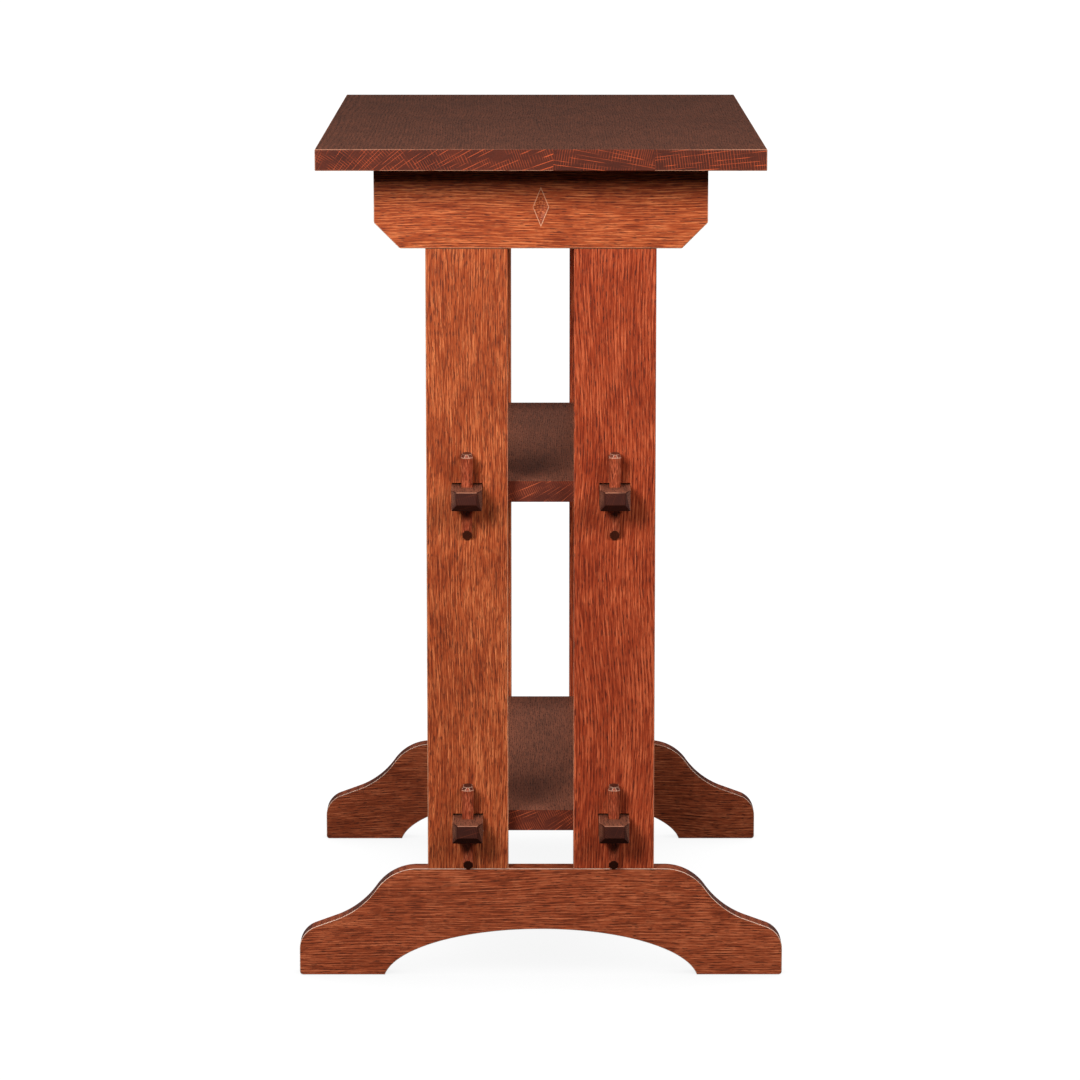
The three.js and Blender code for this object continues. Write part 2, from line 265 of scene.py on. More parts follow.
def cleared(owner):
    """The wiring of a material's or a world's nodes, with none in it yet."""
    owner.use_nodes = True
    owner.node_tree.nodes.clear()
    return Wiring(owner.node_tree)


def in_millimetres(w, middle=Vector()):
    """A piece's own X, Y and Z in mm, counted from a middle in mm."""
    inputs = {
        "Vector": w.node("ShaderNodeTexCoord", {}, "Object"),
        "Location": -middle,
        "Scale": Vector((1, 1, 1)) / MM,
    }
    return w.parts(w.node("ShaderNodeMapping", inputs))


def linear(red, green, blue):
    """A stain swatch, 0 to 255 each, as the colour a shader wants."""
    swatch = [value / 255 for value in (red, green, blue)]
    light = [share / 12.92 if share < 0.04045 else ((share + 0.055) / 1.055) ** 2.4 for share in swatch]
    return (*light, 1.0)


# ---------------------------------------------------------------- oak

class Stain:
    """The colours that one board takes: its pores, its body and its hard bright figure, on a face
    and on an end, and the pale colour of its rounded edges, partly wear and partly painted highlight
    glint."""

    def __init__(self, pore, dark, body, bright, end_dark, end_body, end_bright, wear_and_glint):
        self.pore = linear(*pore)
        self.dark = linear(*dark)
        self.body = linear(*body)
        self.bright = linear(*bright)
        self.end_dark = linear(*end_dark)
        self.end_body = linear(*end_body)
        self.end_bright = linear(*end_bright)
        self.wear_and_glint = linear(*wear_and_glint)


# Each stain's last colour is the pale colour of its rounded edges: partly wear, partly painted
# highlight glint
ORANGE = Stain((80, 32, 18), (128, 52, 28), (174, 79, 42), (224, 127, 76),
               (54, 23, 14), (96, 42, 25), (196, 92, 54), (240, 184, 146))
RED = Stain((70, 24, 15), (120, 42, 24), (166, 66, 36), (214, 107, 66),
            (54, 23, 14), (96, 42, 25), (196, 92, 54), (230, 164, 128))
BROWN = Stain((66, 29, 18), (114, 50, 29), (161, 75, 44), (206, 114, 74),
              (54, 23, 14), (96, 42, 25), (180, 84, 50), (250, 216, 192))
# The next two stains' face colours are darker and greyer than the frame's: painted shade and painted
# sheen on the top's and the shelves' faces, which the lights reach little
TOP_PAINTED_SHADE = Stain((58, 33, 26), (100, 60, 45), (126, 74, 54), (150, 88, 65),
             (54, 21, 12), (102, 40, 20), (220, 94, 48), (222, 160, 128))
SHELF_PAINTED_SHADE = Stain((58, 33, 26), (100, 60, 45), (128, 76, 56), (150, 88, 65),
              (54, 20, 12), (130, 54, 32), (232, 110, 64), (226, 150, 116))
KEY_STAIN = Stain((74, 30, 20), (126, 50, 31), (168, 74, 45), (210, 112, 76),
                  (64, 29, 19), (116, 58, 39), (150, 72, 46), (230, 184, 156))

# How large each kind of figure is, in mm across the board, through it and along its grain
BEND_SIZE = (110, 110, 190)
PORE_SIZE = (0.75, 0.75, 7)
STREAK_SIZE = (0.75, 0.75, 30)
FIBRE_SIZE = (0.5, 0.5, 18)
CLOUD_SIZE = (26, 26, 50)
LATE_PATCH_SIZE = (16, 9, 30)
RUB_SIZE = (12, 12, 12)
POLISH_SIZE = (24, 24, 60)

# The same round the pith, out from it and along the grain
RAY_SIZE = (1.2, 24, 9)
RIBBON_SIZE = (2.5, 22, 9)
RIBBON_PITCH = 3.4
RIBBON_DRIFT = (7, 1, 1)

# The same out from the pith and along the grain
YEAR_SIZE = (11, 11, 1)
YEAR_LEAN = 0.02
YEAR_SPREAD = 2.2


class Figure:
    """What grew in one board, as fields: its yearly rings about the pith, its open pores, its rays,
    and its streaks, fibres and clouds. All come from the board's seed, and each noise after the
    first adds a prime of its own to it."""

    def __init__(self, w, board, pith, seed, ring, swirl, banded):
        self.w = w
        self.board = board
        self.seed = seed
        self.banded = banded
        across, through, along = board

        # The tree was never quite straight
        bend = w.parts(w.noise(board, BEND_SIZE, seed, 0.0, output="Color"))
        bent_across = across + (bend[0] - 0.5) * swirl
        bent_through = through + (bend[1] - 0.5) * swirl * 0.3
        grain = (bent_across, bent_through, along)

        # Wide and narrow years, with open pores in the early wood
        aside = bent_across - pith[0]
        above = bent_through - pith[1]
        radius = (aside * aside + above * above).math("SQRT")
        years = w.noise((radius, along * YEAR_LEAN, 0.0), YEAR_SIZE, seed + 3, 1.0)
        self.year = (radius * (1 / ring) + years * YEAR_SPREAD).math("FRACT")
        self.early = self.year.ramp(0.0, 0.15) * self.year.ramp(0.35, 0.65, 1, 0)
        open_wood = self.early * banded + (1 - banded)
        self.pores = w.noise(grain, PORE_SIZE, seed + 5, 1.0).ramp(0.52, 0.62) * open_wood

        # Rays run out from the pith like thin ribbons
        self.bearing = above.math("ARCTAN2", aside) * math.hypot(*pith)
        self.round_pith = (self.bearing, radius, along)
        self.rays = w.noise(self.round_pith, RAY_SIZE, seed + 7, 1.0).ramp(0.6, 0.68)

        self.streaks = w.noise(grain, STREAK_SIZE, seed + 11, 2.0, 0.55)
        self.fibres = w.noise(grain, FIBRE_SIZE, seed + 13, 1.0)
        self.clouds = w.noise(board, CLOUD_SIZE, seed + 17, 1.0)

    def on_face(self, stain):
        """The colour where the grain runs along the surface."""
        tone = (
            0.5
            + (self.streaks - 0.5) * 1.9
            + (self.fibres - 0.5) * 1.5
            + (self.clouds - 0.5) * 0.5
            - (self.early - 0.35) * (0.28 * self.banded)
        )
        colour = self.w.mix(tone.ramp(0.05, 0.55), stain.dark, stain.body)
        colour = self.w.mix(tone.ramp(0.5, 1.0), colour, stain.bright)
        colour = self.w.mix(self.pores * 0.8, colour, stain.pore)
        return self.w.mix(self.rays * 0.15, colour, stain.bright)

    def on_end(self, stain):
        """The colour where the grain ends: the rays and the late wood stand out as a bright net."""
        w = self.w
        drift = w.noise((self.bearing, 0.0, 0.0), RIBBON_DRIFT, self.seed + 19, 1.0)
        fan = (self.bearing * (1 / RIBBON_PITCH) + drift * 1.3).math("FRACT")
        drawn = w.noise(self.round_pith, RIBBON_SIZE, self.seed + 23, 1.0).ramp(0.45, 0.62)
        ribbons = fan.ramp(0.0, 0.06) * fan.ramp(0.09, 0.18, 1, 0) * drawn
        patchy = w.noise(self.board, LATE_PATCH_SIZE, self.seed + 29, 1.0).ramp(0.4, 0.62)
        late = self.year.ramp(0.62, 0.74) * self.year.ramp(0.86, 1.0, 1, 0) * patchy
        tone = (
            0.5
            + (self.streaks - 0.5) * 0.8
            + (self.clouds - 0.5) * 1.0
            + (self.fibres - 0.5) * 0.6
        )
        colour = w.mix(tone, stain.end_dark, stain.end_body)
        colour = w.mix(late * 0.3, colour, stain.end_bright)
        return w.mix(ribbons * 0.75, colour, stain.end_bright)


def oak(name, corners, lie, pith, stain, seed, ring=2.3, swirl=9, banded=0.6, tips=0, matt=0.3):
    """Stained, satin-varnished oak for one board.

    lie names the axes across the board, through it and along its grain. pith is where the tree's
    heart lay, across and through, in mm from the board's middle. ring is a year's growth and swirl
    how far the grain wanders, in mm; banded is how strictly the open pores keep to the rings. tips is
    how far from its ends, in mm, the board's end grain is coloured darker; matt is the varnish's
    roughness."""
    material = bpy.data.materials.new(name)
    w = cleared(material)
    axes = ["XYZ".index(axis) for axis in lie]
    place = in_millimetres(w, (corners[0] + corners[1]) / 2 / MM)
    board = [place[axis] for axis in axes]
    figure = Figure(w, board, pith, seed, ring, swirl, banded)

    facing = w.parts(w.node("ShaderNodeTexCoord", {}, "Normal"))
    end_grain = facing[axes[2]].math("ABSOLUTE").ramp(0.3, 0.6)
    reach = (corners[1] - corners[0])[axes[2]] / 2 / MM
    # The end grain is darker within tips mm of the board's ends
    tip_darkening = board[2].math("ABSOLUTE").ramp(reach - tips, reach - tips + 1)
    end = w.mix(tip_darkening * 0.85, figure.on_end(stain), stain.end_dark)
    colour = w.mix(end_grain, figure.on_face(stain), end)

    # Painted highlight: the rounded edges turn pale, partly stain rubbed thin where hands and sandpaper
    # met the edges, partly a painted glint where the edges catch the light
    wear_and_glint = w.node("ShaderNodeAttribute", {}, "Fac", attribute_name="edge_glint_and_wear")
    broken_glint_and_wear = wear_and_glint * w.noise(board, RUB_SIZE, seed + 31, 3.0).ramp(0.2, 0.5)
    colour = w.mix(broken_glint_and_wear * 0.8, colour, stain.wear_and_glint)

    relief = figure.pores * -1.0 + figure.fibres * 0.3 + figure.rays * 0.15
    bump = {"Height": relief, "Strength": 0.3, "Distance": 0.1 * MM}
    polish = w.noise(board, POLISH_SIZE, seed + 37, 3.0)
    varnish = matt + figure.pores * 0.2 + (polish - 0.5) * 0.12
    surface = {
        "Base Color": colour,
        "Roughness": varnish + end_grain * 0.2 - wear_and_glint * 0.1,
        "Normal": w.node("ShaderNodeBump", bump),
        "IOR": 1.46,
        "Specular IOR Level": 0.25,
    }
    shaded = w.node("ShaderNodeBsdfPrincipled", surface)
    w.node("ShaderNodeOutputMaterial", {"Surface": shaded})
    return material


def brushed_zinc(name):
    """Zinc-plated steel, brushed, with a few duller patches."""
    material = bpy.data.materials.new(name)
    w = cleared(material)
    point = in_millimetres(w)
    brushing = w.noise(point, (0.15, 4, 4), 2.0, 2.0)
    patches = w.noise(point, (3, 3, 3), 5.0, 3.0)
    bump = {"Height": brushing, "Strength": 0.15, "Distance": 0.02 * MM}
    surface = {
        "Base Color": w.mix(patches.ramp(0.35, 0.65), linear(196, 198, 200), linear(150, 152, 158)),
        "Metallic": 1.0,
        "Roughness": 0.28 + patches * 0.14 + (brushing - 0.5) * 0.2,
        "Normal": w.node("ShaderNodeBump", bump),
    }
    shaded = w.node("ShaderNodeBsdfPrincipled", surface)
    w.node("ShaderNodeOutputMaterial", {"Surface": shaded})
    return material


# ---------------------------------------------------------------- shaping

def evaluated(carrier):
    """What an object's modifiers make of it, as a plain mesh. The object itself goes."""
    bpy.context.scene.collection.objects.link(carrier)
    graph = bpy.context.evaluated_depsgraph_get()
    mesh = bpy.data.meshes.new_from_object(carrier.evaluated_get(graph), depsgraph=graph)
    carrier.modifiers.clear()
    bpy.data.objects.remove(carrier)
    return mesh


def show(name, mesh, material, slot, body, *nodes):
    """Puts a finished mesh in the scene in place of CAD nodes. Its flat faces shade flat, and only
    its rounded edges shade round."""
    carrier = bpy.data.objects.new(name, mesh)
    carrier.modifiers.new("flat faces", "WEIGHTED_NORMAL").keep_sharp = True
    mesh = evaluated(carrier)
    mesh.materials.clear()
    mesh.materials.append(material)
    mesh.name = name
    piece = bpy.data.objects.new(name, mesh)
    bpy.context.scene.collection.objects.link(piece)
    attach(piece, body)
    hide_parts(*nodes)


def ease(mesh, width, chosen, segments=2, glint_and_wear_above=None):
    """Rounds the chosen outward edges of a mesh. A vertex attribute is 1 on those that take the pale
    colour of wear and painted highlight glint: all of them, or only those higher than a given height."""
    shape = bmesh.new()
    shape.from_mesh(mesh)
    bmesh.ops.remove_doubles(shape, verts=shape.verts, dist=WELD)
    bmesh.ops.dissolve_limit(shape, angle_limit=ONE_PLANE, verts=shape.verts, edges=shape.edges)
    layers = shape.verts.layers.float
    edge_glint_and_wear = layers.get("edge_glint_and_wear") or layers.new("edge_glint_and_wear")
    shape.normal_update()
    edges = [
        edge for edge in shape.edges
        if len(edge.link_faces) == 2
        and edge.calc_face_angle_signed() > EDGE
        and chosen(edge.verts[0].co, edge.verts[1].co)
    ]
    rounded = bmesh.ops.bevel(
        shape, geom=edges, offset=width, segments=segments, profile=0.5,
        affect="EDGES", clamp_overlap=True,
    )
    faces = set(rounded["faces"])
    for vert in rounded["verts"]:
        if all(face in faces for face in vert.link_faces):
            vert[edge_glint_and_wear] = 1.0
    if glint_and_wear_above is not None:
        everything = [*shape.verts, *shape.edges, *shape.faces]
        bmesh.ops.bisect_plane(shape, geom=everything, plane_co=(0, 0, glint_and_wear_above), plane_no=(0, 0, 1))
        for vert in shape.verts:
            if vert.co.z < glint_and_wear_above + HAIR:
                vert[edge_glint_and_wear] = 0.0
    for face in shape.faces:
        face.smooth = True
    shape.to_mesh(mesh)
    shape.free()
    mesh.set_sharp_from_angle(angle=CRISP)
    return mesh


def copy_of(node):
    """A CAD node's mesh, free to be changed."""
    mesh = frame["nodes"][node].data.copy()
    if mesh.attributes.get("custom_normal"):
        mesh.attributes.remove(mesh.attributes["custom_normal"])
    return mesh


def grown(carrier, tree, inputs):
    """Runs a Geometry Nodes tree on an object's data, and returns the result as a plain mesh."""
    modifier = carrier.modifiers.new(tree.name, "NODES")
    modifier.node_group = tree
    sockets = {
        item.name: item.identifier for item in tree.interface.items_tree
        if item.item_type == "SOCKET" and item.in_out == "INPUT"
    }
    for name, value in inputs.items():
        modifier[sockets[name]] = value
    return evaluated(carrier)


def new_tree(name, inputs):
    """A Geometry Nodes tree with named inputs, and those inputs as fields."""
    tree = bpy.data.node_groups.new(name, "GeometryNodeTree")
    tree.interface.new_socket("Geometry", in_out="INPUT", socket_type="NodeSocketGeometry")
    for label, kind in inputs.items():
        tree.interface.new_socket(label, in_out="INPUT", socket_type="NodeSocket" + kind)
    tree.interface.new_socket("Geometry", in_out="OUTPUT", socket_type="NodeSocketGeometry")
    w = Wiring(tree)
    entry = tree.nodes.new("NodeGroupInput")
    fields = {socket.name: Field(w, socket) for socket in entry.outputs if socket.name}
    return w, fields


def close_tree(w, geometry, material):
    """Ends a tree with its instances made real and its material set."""
    real = w.node("GeometryNodeRealizeInstances", {0: geometry})
    covered = w.node("GeometryNodeSetMaterial", {"Geometry": real, "Material": material})
    leave = w.tree.nodes.new("NodeGroupOutput")
    w.feed(leave.inputs[0], covered)
    return w.tree


def joined(w, *pieces):
    """Several geometries as one."""
    node = w.tree.nodes.new("GeometryNodeJoinGeometry")
    for made in reversed(pieces):
        w.tree.links.new(made.socket, node.inputs[0])
    return Field(w, node.outputs[0])


# ---------------------------------------------------------------- feet

def arc(centre, radius, start, end):
    """Points on an arc, from one angle to the other."""
    steps = max(3, math.ceil(abs(end - start) * radius / SAW_STEP))
    angles = [start + (end - start) * step / steps for step in range(steps + 1)]
    return [(centre[0] + radius * math.cos(a), centre[1] + radius * math.sin(a)) for a in angles]


def foot_outline():
    """One loop in X and Z: seat, crown, ogee hollow, toe, sole and arch, then the mirror image."""
    crown_x = SEAT_HALF + CROWN_RADIUS * math.sin(CROWN_SLOPE)
    crown_z = FOOT_HEIGHT - CROWN_RADIUS * (1 - math.cos(CROWN_SLOPE))
    hollow = (
        crown_x + HOLLOW_RADIUS * math.sin(CROWN_SLOPE),
        crown_z + HOLLOW_RADIUS * math.cos(CROWN_SLOPE),
    )
    half = arc((SEAT_HALF, FOOT_HEIGHT - CROWN_RADIUS), CROWN_RADIUS, QUARTER, QUARTER - CROWN_SLOPE)
    half += arc(hollow, HOLLOW_RADIUS, -QUARTER - CROWN_SLOPE, -QUARTER - TOE_SLOPE)[1:]
    slope_x, slope_z = half[-1]
    run = FOOT_HALF - TOE_RADIUS * (1 - math.sin(TOE_SLOPE)) - slope_x
    toe_z = slope_z - run * math.tan(TOE_SLOPE) - TOE_RADIUS * math.cos(TOE_SLOPE)
    half += arc((FOOT_HALF - TOE_RADIUS, toe_z), TOE_RADIUS, QUARTER - TOE_SLOPE, 0)
    half += arc((FOOT_HALF - SOLE_RADIUS, SOLE_RADIUS), SOLE_RADIUS, 0, -QUARTER)
    rise = ARCH_RISE + ARCH_CENTRE_DROP
    start = math.asin(ARCH_CENTRE_DROP / rise)
    span = ARCH_HALF / math.cos(start)
    steps = math.ceil((QUARTER - start) * span / SAW_STEP)
    for step in range(steps):
        angle = start + (QUARTER - start) * step / steps
        half.append((span * math.cos(angle), rise * math.sin(angle) - ARCH_CENTRE_DROP))
    middle = [(0, ARCH_RISE)]
    return half + middle + [(-x, z) for x, z in reversed(half)]


def sawn_board_tree():
    """A board sawn to an outline in X and Z, with pockets for stub tenons sunk into its top."""
    w, given = new_tree("sawn board", {
        "Thickness": "Float", "Outer face": "Float", "Top": "Float", "Pocket size": "Vector",
        "Pocket spacing": "Float", "Material": "Material",
    })
    drawn = w.node("GeometryNodeFillCurve", {"Curve": given["Geometry"]}, mode="NGONS")
    pulled = {"Mesh": drawn, "Offset Scale": given["Thickness"], "Individual": False}
    lifted = w.node("GeometryNodeExtrudeMesh", pulled)
    back = w.node("GeometryNodeFlipFaces", {"Mesh": drawn})
    closed = {"Geometry": joined(w, lifted, back), "Distance": WELD}
    upright = {
        "Geometry": w.node("GeometryNodeMergeByDistance", closed),
        "Translation": w.vector(0.0, given["Outer face"] + given["Thickness"], 0.0),
        "Rotation": (QUARTER, 0, 0),
    }
    standing = w.node("GeometryNodeTransform", upright)
    middle = given["Outer face"] + given["Thickness"] * 0.5
    row = {
        "Count": 2,
        "Start Location": w.vector(given["Pocket spacing"] * -0.5, middle, given["Top"]),
        "Offset": w.vector(given["Pocket spacing"], 0.0, 0.0),
    }
    centres = w.node("GeometryNodeMeshLine", row)
    cutter = w.node("GeometryNodeMeshCube", {"Size": given["Pocket size"]})
    pockets = w.node("GeometryNodeInstanceOnPoints", {"Points": centres, "Instance": cutter})
    cutters = w.node("GeometryNodeRealizeInstances", {0: pockets})
    cut = {"Mesh 1": standing, "Mesh 2": cutters}
    sunk = w.node("GeometryNodeMeshBoolean", cut, operation="DIFFERENCE")
    return close_tree(w, sunk, given["Material"])


def make_foot(end, tree, outline, material):
    low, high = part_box(f"foot_{end}")
    curve = bpy.data.curves.new("foot outline", "CURVE")
    curve.dimensions = "2D"
    spline = curve.splines.new("POLY")
    spline.points.add(len(outline) - 1)
    for point, (x, z) in zip(spline.points, outline):
        point.co = (x, z, 0, 1)
    spline.use_cyclic_u = True
    post_low, post_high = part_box(f"post_{end}_right")
    mesh = grown(bpy.data.objects.new("foot outline", curve), tree, {
        "Thickness": high.y - low.y,
        "Outer face": low.y,
        "Top": FOOT_HEIGHT,
        "Pocket size": (POCKET_WIDTH, POCKET_THICKNESS, 2 * POCKET_DEPTH),
        "Pocket spacing": abs(post_low.x + post_high.x),
        "Material": material,
    })

    def on_outline(a, b):
        same_face = abs(a.y - b.y) < GAP
        return same_face and (abs(a.y - low.y) < GAP or abs(a.y - high.y) < GAP)

    ease(mesh, FOOT_EDGE, on_outline, 3)
    show(f"ogee_foot_{end}", mesh, material, "oak_frame", "stand", f"foot_{end}")


# ---------------------------------------------------------------- posts, cleats, shelves, top

def parallel(a, b, axis):
    """Whether the edge from a to b runs along an axis."""
    span = b - a
    return abs(span["XYZ".index(axis)]) > 0.99 * span.length


def make_post(end, side, material):
    node = f"post_{end}_{side}"
    low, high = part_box(node)

    def long_corner(a, b):
        return parallel(a, b, "Z") and (abs(a.x - low.x) < GAP or abs(a.x - high.x) < GAP)

    mesh = ease(copy_of(node), BOARD_EDGE, long_corner)
    show(f"shaped_{node}", mesh, material, "oak_frame", "stand", node)


def make_cleat(end, material):
    node = f"cleat_{end}"
    low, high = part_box(node)

    def lozenge_rim(a, b):
        middle = (a + b) / 2
        return abs(middle.x) < MARK_HALF and low.z + MARK_MARGIN < middle.z < high.z - MARK_MARGIN

    def outer_edge(a, b):
        middle = (a + b) / 2
        on_face = abs(a.y - b.y) > GAP or abs(a.y - low.y) < GAP or abs(a.y - high.y) < GAP
        at_pocket = middle.z > high.z - FASTENER_DEPTH and abs(middle.x) < high.x - GAP
        under = abs(middle.z - low.z) < GAP and abs(a.y - b.y) > GAP and abs(middle.x) < POSTS_HALF
        return on_face and not lozenge_rim(a, b) and not at_pocket and not under

    # The lozenge's rim takes the pale edge colour of wear and painted highlight
    mesh = ease(copy_of(node), MARK_EDGE, lozenge_rim)
    ease(mesh, BOARD_EDGE, outer_edge)
    show(f"shaped_{node}", mesh, material, "oak_frame", "stand", node)


def make_shelf(level, material):
    node = f"shelf_{level}"
    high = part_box(node)[1]
    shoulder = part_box("post_rear_right")[0].y

    def board_or_tenon(a, b):
        middle = (a + b) / 2
        long_edge = parallel(a, b, "Y") and abs(abs(middle.x) - high.x) < GAP
        proud = abs(middle.y) > shoulder + PROUD
        tip = abs(a.y) > high.y - TIP and abs(b.y) > high.y - TIP
        tenon_side = proud and parallel(a, b, "Y") and abs(a.y - b.y) > TENON_SIDE
        return long_edge or tip or tenon_side

    # Only the edges near the shelf's top take the pale colour of wear and painted highlight glint
    mesh = ease(copy_of(node), SHELF_EDGE, board_or_tenon, glint_and_wear_above=high.z - SHELF_GLINT_AND_WEAR_DEPTH)
    show(f"shaped_{node}", mesh, material, "oak_shelf", "stand", node)


def make_top_board(name, material):
    node = f"top_board_{name}"
    top_end = CAD_BOX[1].y

    def outside(a, b):
        flat = abs(a.z - b.z) < GAP
        at_end = parallel(a, b, "X") and abs(abs(a.y) - top_end) < GAP
        at_side = parallel(a, b, "Y") and abs(abs(a.x) - TOP_HALF) < GAP
        at_corner = parallel(a, b, "Z") and abs(abs(a.x) - TOP_HALF) < GAP
        return (flat and (at_end or at_side)) or at_corner

    mesh = copy_of(node)
    for vertex in mesh.vertices:
        for seam in SEAMS:
            if abs(vertex.co.x - seam) < GAP:
                vertex.co.x = seam
    ease(mesh, BOARD_EDGE, outside)
    show(f"shaped_{node}", mesh, material, "oak_top", "stand", node)


# ---------------------------------------------------------------- wedge keys

def wedge_key_tree():
    """An eight-sided key, flat at its back, tapered on its front, cut off at 45 degrees below and
    chamfered round its head. It stands on Seat, at the back of its lower end."""
    w, given = new_tree("wedge key", {
        "Foot width": "Float", "Head width": "Float", "Foot depth": "Float", "Head depth": "Float",
        "Length": "Float", "Corner": "Float", "Crown": "Float", "Seat": "Vector", "Front": "Float",
        "Material": "Material",
    })
    blank = {"Vertices": 8, "Side Segments": 2, "Radius": 1.0, "Depth": 2.0}
    stick = w.node("GeometryNodeMeshCylinder", blank, "Mesh")
    turned = w.node("GeometryNodeTransform", {"Geometry": stick, "Rotation": (0, 0, math.pi / 8)})

    # The blank's points are at -1, 0 and 1 in Z, and at sin and cos of an eighth of pi across
    x, y, z = w.parts(w.node("GeometryNodeInputPosition", {}))
    crown = z.math("GREATER_THAN", 0.5)
    foot = z.math("LESS_THAN", -0.5)
    front = y.math("LESS_THAN", 0.0)
    narrow_x = x.math("ABSOLUTE").math("LESS_THAN", 0.6)
    narrow_y = y.math("ABSOLUTE").math("LESS_THAN", 0.6)

    height = (1 - foot) * (given["Length"] - (1 - crown) * given["Crown"])
    rise = height / given["Length"]
    depth = given["Foot depth"] + (given["Head depth"] - given["Foot depth"]) * rise
    width = given["Foot width"] + (given["Head width"] - given["Foot width"]) * rise
    inset = crown * given["Crown"] * 0.5
    side = width * 0.5 - inset - narrow_x * given["Corner"]
    step = inset + narrow_y * given["Corner"]
    out = step + front * (depth - step * 2)
    sideways = x.math("SIGN") * side * -1 * given["Front"]
    place = w.vector(sideways, out * given["Front"], height + foot * out)
    seat = w.node("ShaderNodeVectorMath", {0: place, 1: given["Seat"]}, operation="ADD")
    shaped = w.node("GeometryNodeSetPosition", {"Geometry": turned, "Position": seat})
    return close_tree(w, shaped, given["Material"])


def make_key(name, tree, material):
    low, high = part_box(name)
    toward = ENDS[name.split("_")[1]]
    back = high.y if toward < 0 else low.y
    mesh = grown(bpy.data.objects.new(name, bpy.data.meshes.new(name)), tree, {
        "Foot width": KEY_FOOT_WIDTH,
        "Head width": KEY_HEAD_WIDTH,
        "Foot depth": KEY_FOOT_DEPTH,
        "Head depth": KEY_HEAD_DEPTH,
        "Length": high.z - low.z,
        "Corner": KEY_CORNER,
        "Crown": KEY_CROWN,
        "Seat": ((low.x + high.x) / 2, back, low.z),
        "Front": toward,
        "Material": material,
    })
    # Only the edges of the crown take the pale colour of wear and painted highlight glint
    ease(mesh, KEY_EDGE, lambda a, b: True, glint_and_wear_above=high.z - KEY_CROWN - KEY_GLINT_AND_WEAR_DEPTH)
    show(f"wedge_{name}", mesh, material, "oak_key", name, name)


# ---------------------------------------------------------------- screws

def slotted_screw_tree():
    """Countersunk screws with slotted heads, one at each point of a mesh, heads down or up."""
    w, given = new_tree("slotted screws", {
        "Head": "Float", "Shank": "Float", "Length": "Float", "Tip": "Float", "Slot": "Float",
        "Slot depth": "Float", "Turn": "Vector", "Material": "Material",
    })

    def cone(top, bottom, depth, base=0.0):
        """A round piece of a screw that starts at a height."""
        sizes = {"Vertices": SCREW_SIDES, "Radius Top": top, "Radius Bottom": bottom, "Depth": depth}
        made = w.node("GeometryNodeMeshCone", sizes, "Mesh")
        raised = {"Geometry": made, "Translation": w.vector(0.0, 0.0, base)}
        return w.node("GeometryNodeTransform", raised)

    sink = given["Head"] - given["Shank"]
    point = given["Length"] - given["Tip"]
    slot_size = w.vector(given["Head"] * 3, given["Slot"], given["Slot depth"] * 2)
    slot = w.node("GeometryNodeMeshCube", {"Size": slot_size})
    cut = {"Mesh 1": cone(given["Shank"], given["Head"], sink), "Mesh 2": slot}
    slotted = w.node("GeometryNodeMeshBoolean", cut, operation="DIFFERENCE")
    shank = cone(given["Shank"], given["Shank"], point - sink, sink)
    tip = cone(0.0, given["Shank"], given["Tip"], point)
    turn = w.node("FunctionNodeEulerToRotation", {0: given["Turn"]})
    placed = {
        "Points": given["Geometry"],
        "Instance": joined(w, slotted, shank, tip),
        "Rotation": turn,
    }
    return close_tree(w, w.node("GeometryNodeInstanceOnPoints", placed), given["Material"])


def make_screws(kind, heads_up, tree, material):
    nodes = [f"{kind}_{end}_{side}" for end in ENDS for side in SIDES]
    heads = []
    for node in nodes:
        low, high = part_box(node)
        heads.append(((low.x + high.x) / 2, (low.y + high.y) / 2, high.z if heads_up else low.z))
    points = bpy.data.meshes.new(kind)
    points.from_pydata(heads, [], [])
    mesh = grown(bpy.data.objects.new(kind, points), tree, {
        "Head": SCREW_HEAD,
        "Shank": SCREW_SHANK,
        "Length": SCREW_LENGTH,
        "Tip": SCREW_TIP,
        "Slot": SCREW_SLOT,
        "Slot depth": SCREW_SLOT_DEPTH,
        "Turn": (math.pi if heads_up else 0, 0, SLOT_TURN),
        "Material": material,
    })
    show(f"{kind}s", mesh, material, "zinc_steel", "stand", *nodes)


# ---------------------------------------------------------------- studio

def softbox(name, place, size, strength):
    """A soft light aimed at LIT; strength is the brightness that it gives to a white card facing it
    there."""
    light = bpy.data.lights.new(name, "AREA")
    light.shape = "RECTANGLE"
    light.size, light.size_y = size
    way = Vector(place) - LIT
    light.energy = strength * (math.pi * way.length) ** 2
    lamp = bpy.data.objects.new(name, light)
    lamp.location = place
    lamp.rotation_euler = way.to_track_quat("Z", "Y").to_euler()
    lamp.visible_camera = False
    bpy.context.scene.collection.objects.link(lamp)


def white_paper():
    """The floor: evenly white to the eye, a little greyer where the stand keeps light off it."""
    paper = bpy.data.materials.new("white paper floor")
    w = cleared(paper)
    open_sky = w.node("ShaderNodeAmbientOcclusion", {"Distance": SHADE_REACH}, "AO", samples=8)
    bright = {"Color": WHITE, "Strength": open_sky * OPEN_FLOOR_GLOW + FLOOR_GLOW}
    glow = w.node("ShaderNodeEmission", bright)
    sheet = w.node("ShaderNodeBsdfDiffuse", {"Color": PAPER_GREY})
    seen = w.node("ShaderNodeLightPath", {}, "Is Camera Ray")
    both = w.node("ShaderNodeMixShader", {0: seen, 1: sheet, 2: glow})
    w.node("ShaderNodeOutputMaterial", {"Surface": both})
    return paper


def pale_room():
    """A white room to the eye, that lights the stand only a little, and more from behind."""
    world = bpy.data.worlds.new("pale room")
    w = cleared(world)
    seen = w.node("ShaderNodeLightPath", {}, "Is Camera Ray")
    behind = w.parts(w.node("ShaderNodeTexCoord", {}, "Generated"))[1].ramp(0.0, 0.8)
    bright = {"Color": WHITE, "Strength": seen + behind * BACK_WALL_GLOW + ROOM_GLOW}
    room = w.node("ShaderNodeBackground", bright)
    w.node("ShaderNodeOutputWorld", {"Surface": room})
    return world


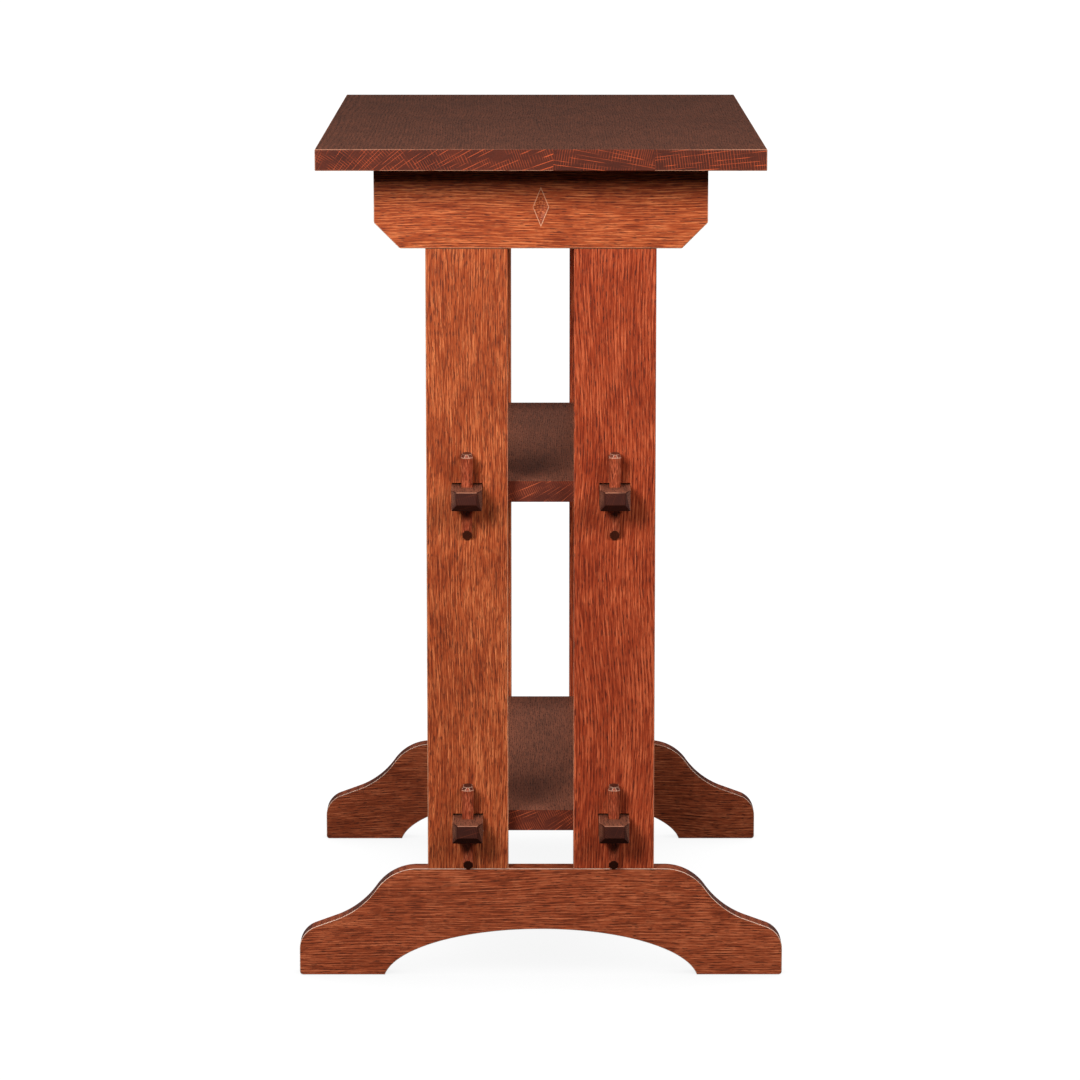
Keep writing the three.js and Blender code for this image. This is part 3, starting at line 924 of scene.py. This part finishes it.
def studio():
    """A pale seamless floor and room, soft lights and the camera."""
    scene = bpy.context.scene
    scene.view_settings.view_transform = "Standard"
    scene.world = pale_room()

    corners = [(-1, -1), (1, -1), (1, 1), (-1, 1)]
    mesh = bpy.data.meshes.new("floor")
    mesh.from_pydata([(x * FLOOR_HALF, y * FLOOR_HALF, 0) for x, y in corners], [], [(0, 1, 2, 3)])
    mesh.materials.append(white_paper())
    floor = bpy.data.objects.new("floor", mesh)
    scene.collection.objects.link(floor)

    for name, (place, size, strength) in LIGHTS.items():
        softbox(name, place, size, strength)

    lens = bpy.data.cameras.new("camera")
    lens.lens = CAMERA_LENS
    lens.sensor_width = CAMERA_SENSOR
    camera = bpy.data.objects.new("camera", lens)
    camera.location = CAMERA_PLACE
    aim = Vector(CAMERA_AIM)
    camera.rotation_euler = (aim - camera.location).to_track_quat("-Z", "Y").to_euler()
    scene.collection.objects.link(camera)
    scene.camera = camera


# ---------------------------------------------------------------- the stand

# Where each board's pith lay, and how its figure differs from an ordinary board's
FOOT_BOARDS = {"pith": (-160, 20), "stain": BROWN, "swirl": 26}
CLEAT_BOARDS = {"pith": (-190, 30), "stain": ORANGE}
POST_BOARDS = {
    "left": {"pith": (-120, 90), "stain": ORANGE, "ring": 1.9, "swirl": 12, "banded": 0.4},
    "right": {"pith": (90, -60), "stain": RED, "ring": 2.6, "swirl": 20, "banded": 0.7},
}
# The shelves' stain paints shade and sheen into their faces
SHELF_BOARDS = {"pith": (85, 45), "stain": SHELF_PAINTED_SHADE, "ring": 1.9, "tips": 12, "matt": 0.44}
TOP_PITH = {"left": (-150, -90), "middle": (160, -30), "right": (-300, -30)}
KEY_BLANK = {"pith": (-60, 45), "stain": KEY_STAIN}
SEEDS = {"foot": 2, "cleat": 6, "post": 11, "shelf": 31, "top": 41, "keys": 53}
POST_SEED_STEP = 7

studio()

foot_tree = sawn_board_tree()
outline = foot_outline()
for number, end in enumerate(ENDS):
    seed = SEEDS["foot"] + number
    foot_oak = oak(f"oak foot {end}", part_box(f"foot_{end}"), "ZYX", seed=seed, **FOOT_BOARDS)
    make_foot(end, foot_tree, outline, foot_oak)
    seed = SEEDS["cleat"] + number
    cleat_oak = oak(f"oak cleat {end}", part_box(f"cleat_{end}"), "ZYX", seed=seed, **CLEAT_BOARDS)
    make_cleat(end, cleat_oak)
    for side in SIDES:
        node = f"post_{end}_{side}"
        seed = SEEDS["post"] + POST_SEED_STEP * number
        make_post(end, side, oak(f"oak {node}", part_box(node), "XYZ", seed=seed, **POST_BOARDS[side]))

for number, level in enumerate(("upper", "lower")):
    node = f"shelf_{level}"
    seed = SEEDS["shelf"] + number
    make_shelf(level, oak(f"oak {node}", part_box(node), "XZY", seed=seed, **SHELF_BOARDS))

for number, (name, pith) in enumerate(TOP_PITH.items()):
    node = f"top_board_{name}"
    seed = SEEDS["top"] + number
    # The top's stain paints shade and sheen into its faces
    make_top_board(name, oak(f"oak {node}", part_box(node), "XZY", pith, TOP_PAINTED_SHADE, seed, matt=0.44))

key_tree = wedge_key_tree()
key_oak = oak("oak keys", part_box("key_front_upper_left"), "XYZ", seed=SEEDS["keys"], **KEY_BLANK)
for name in frame["bodies"]:
    if name.startswith("key_"):
        make_key(name, key_tree, key_oak)

zinc = brushed_zinc("brushed zinc")
screw_tree = slotted_screw_tree()
make_screws("cleat_screw", True, screw_tree, zinc)
make_screws("top_screw", False, screw_tree, zinc)
for end in ENDS:
    for side in SIDES:
        frame["nodes"][f"fastener_{end}_{side}"].data.materials[0] = zinc
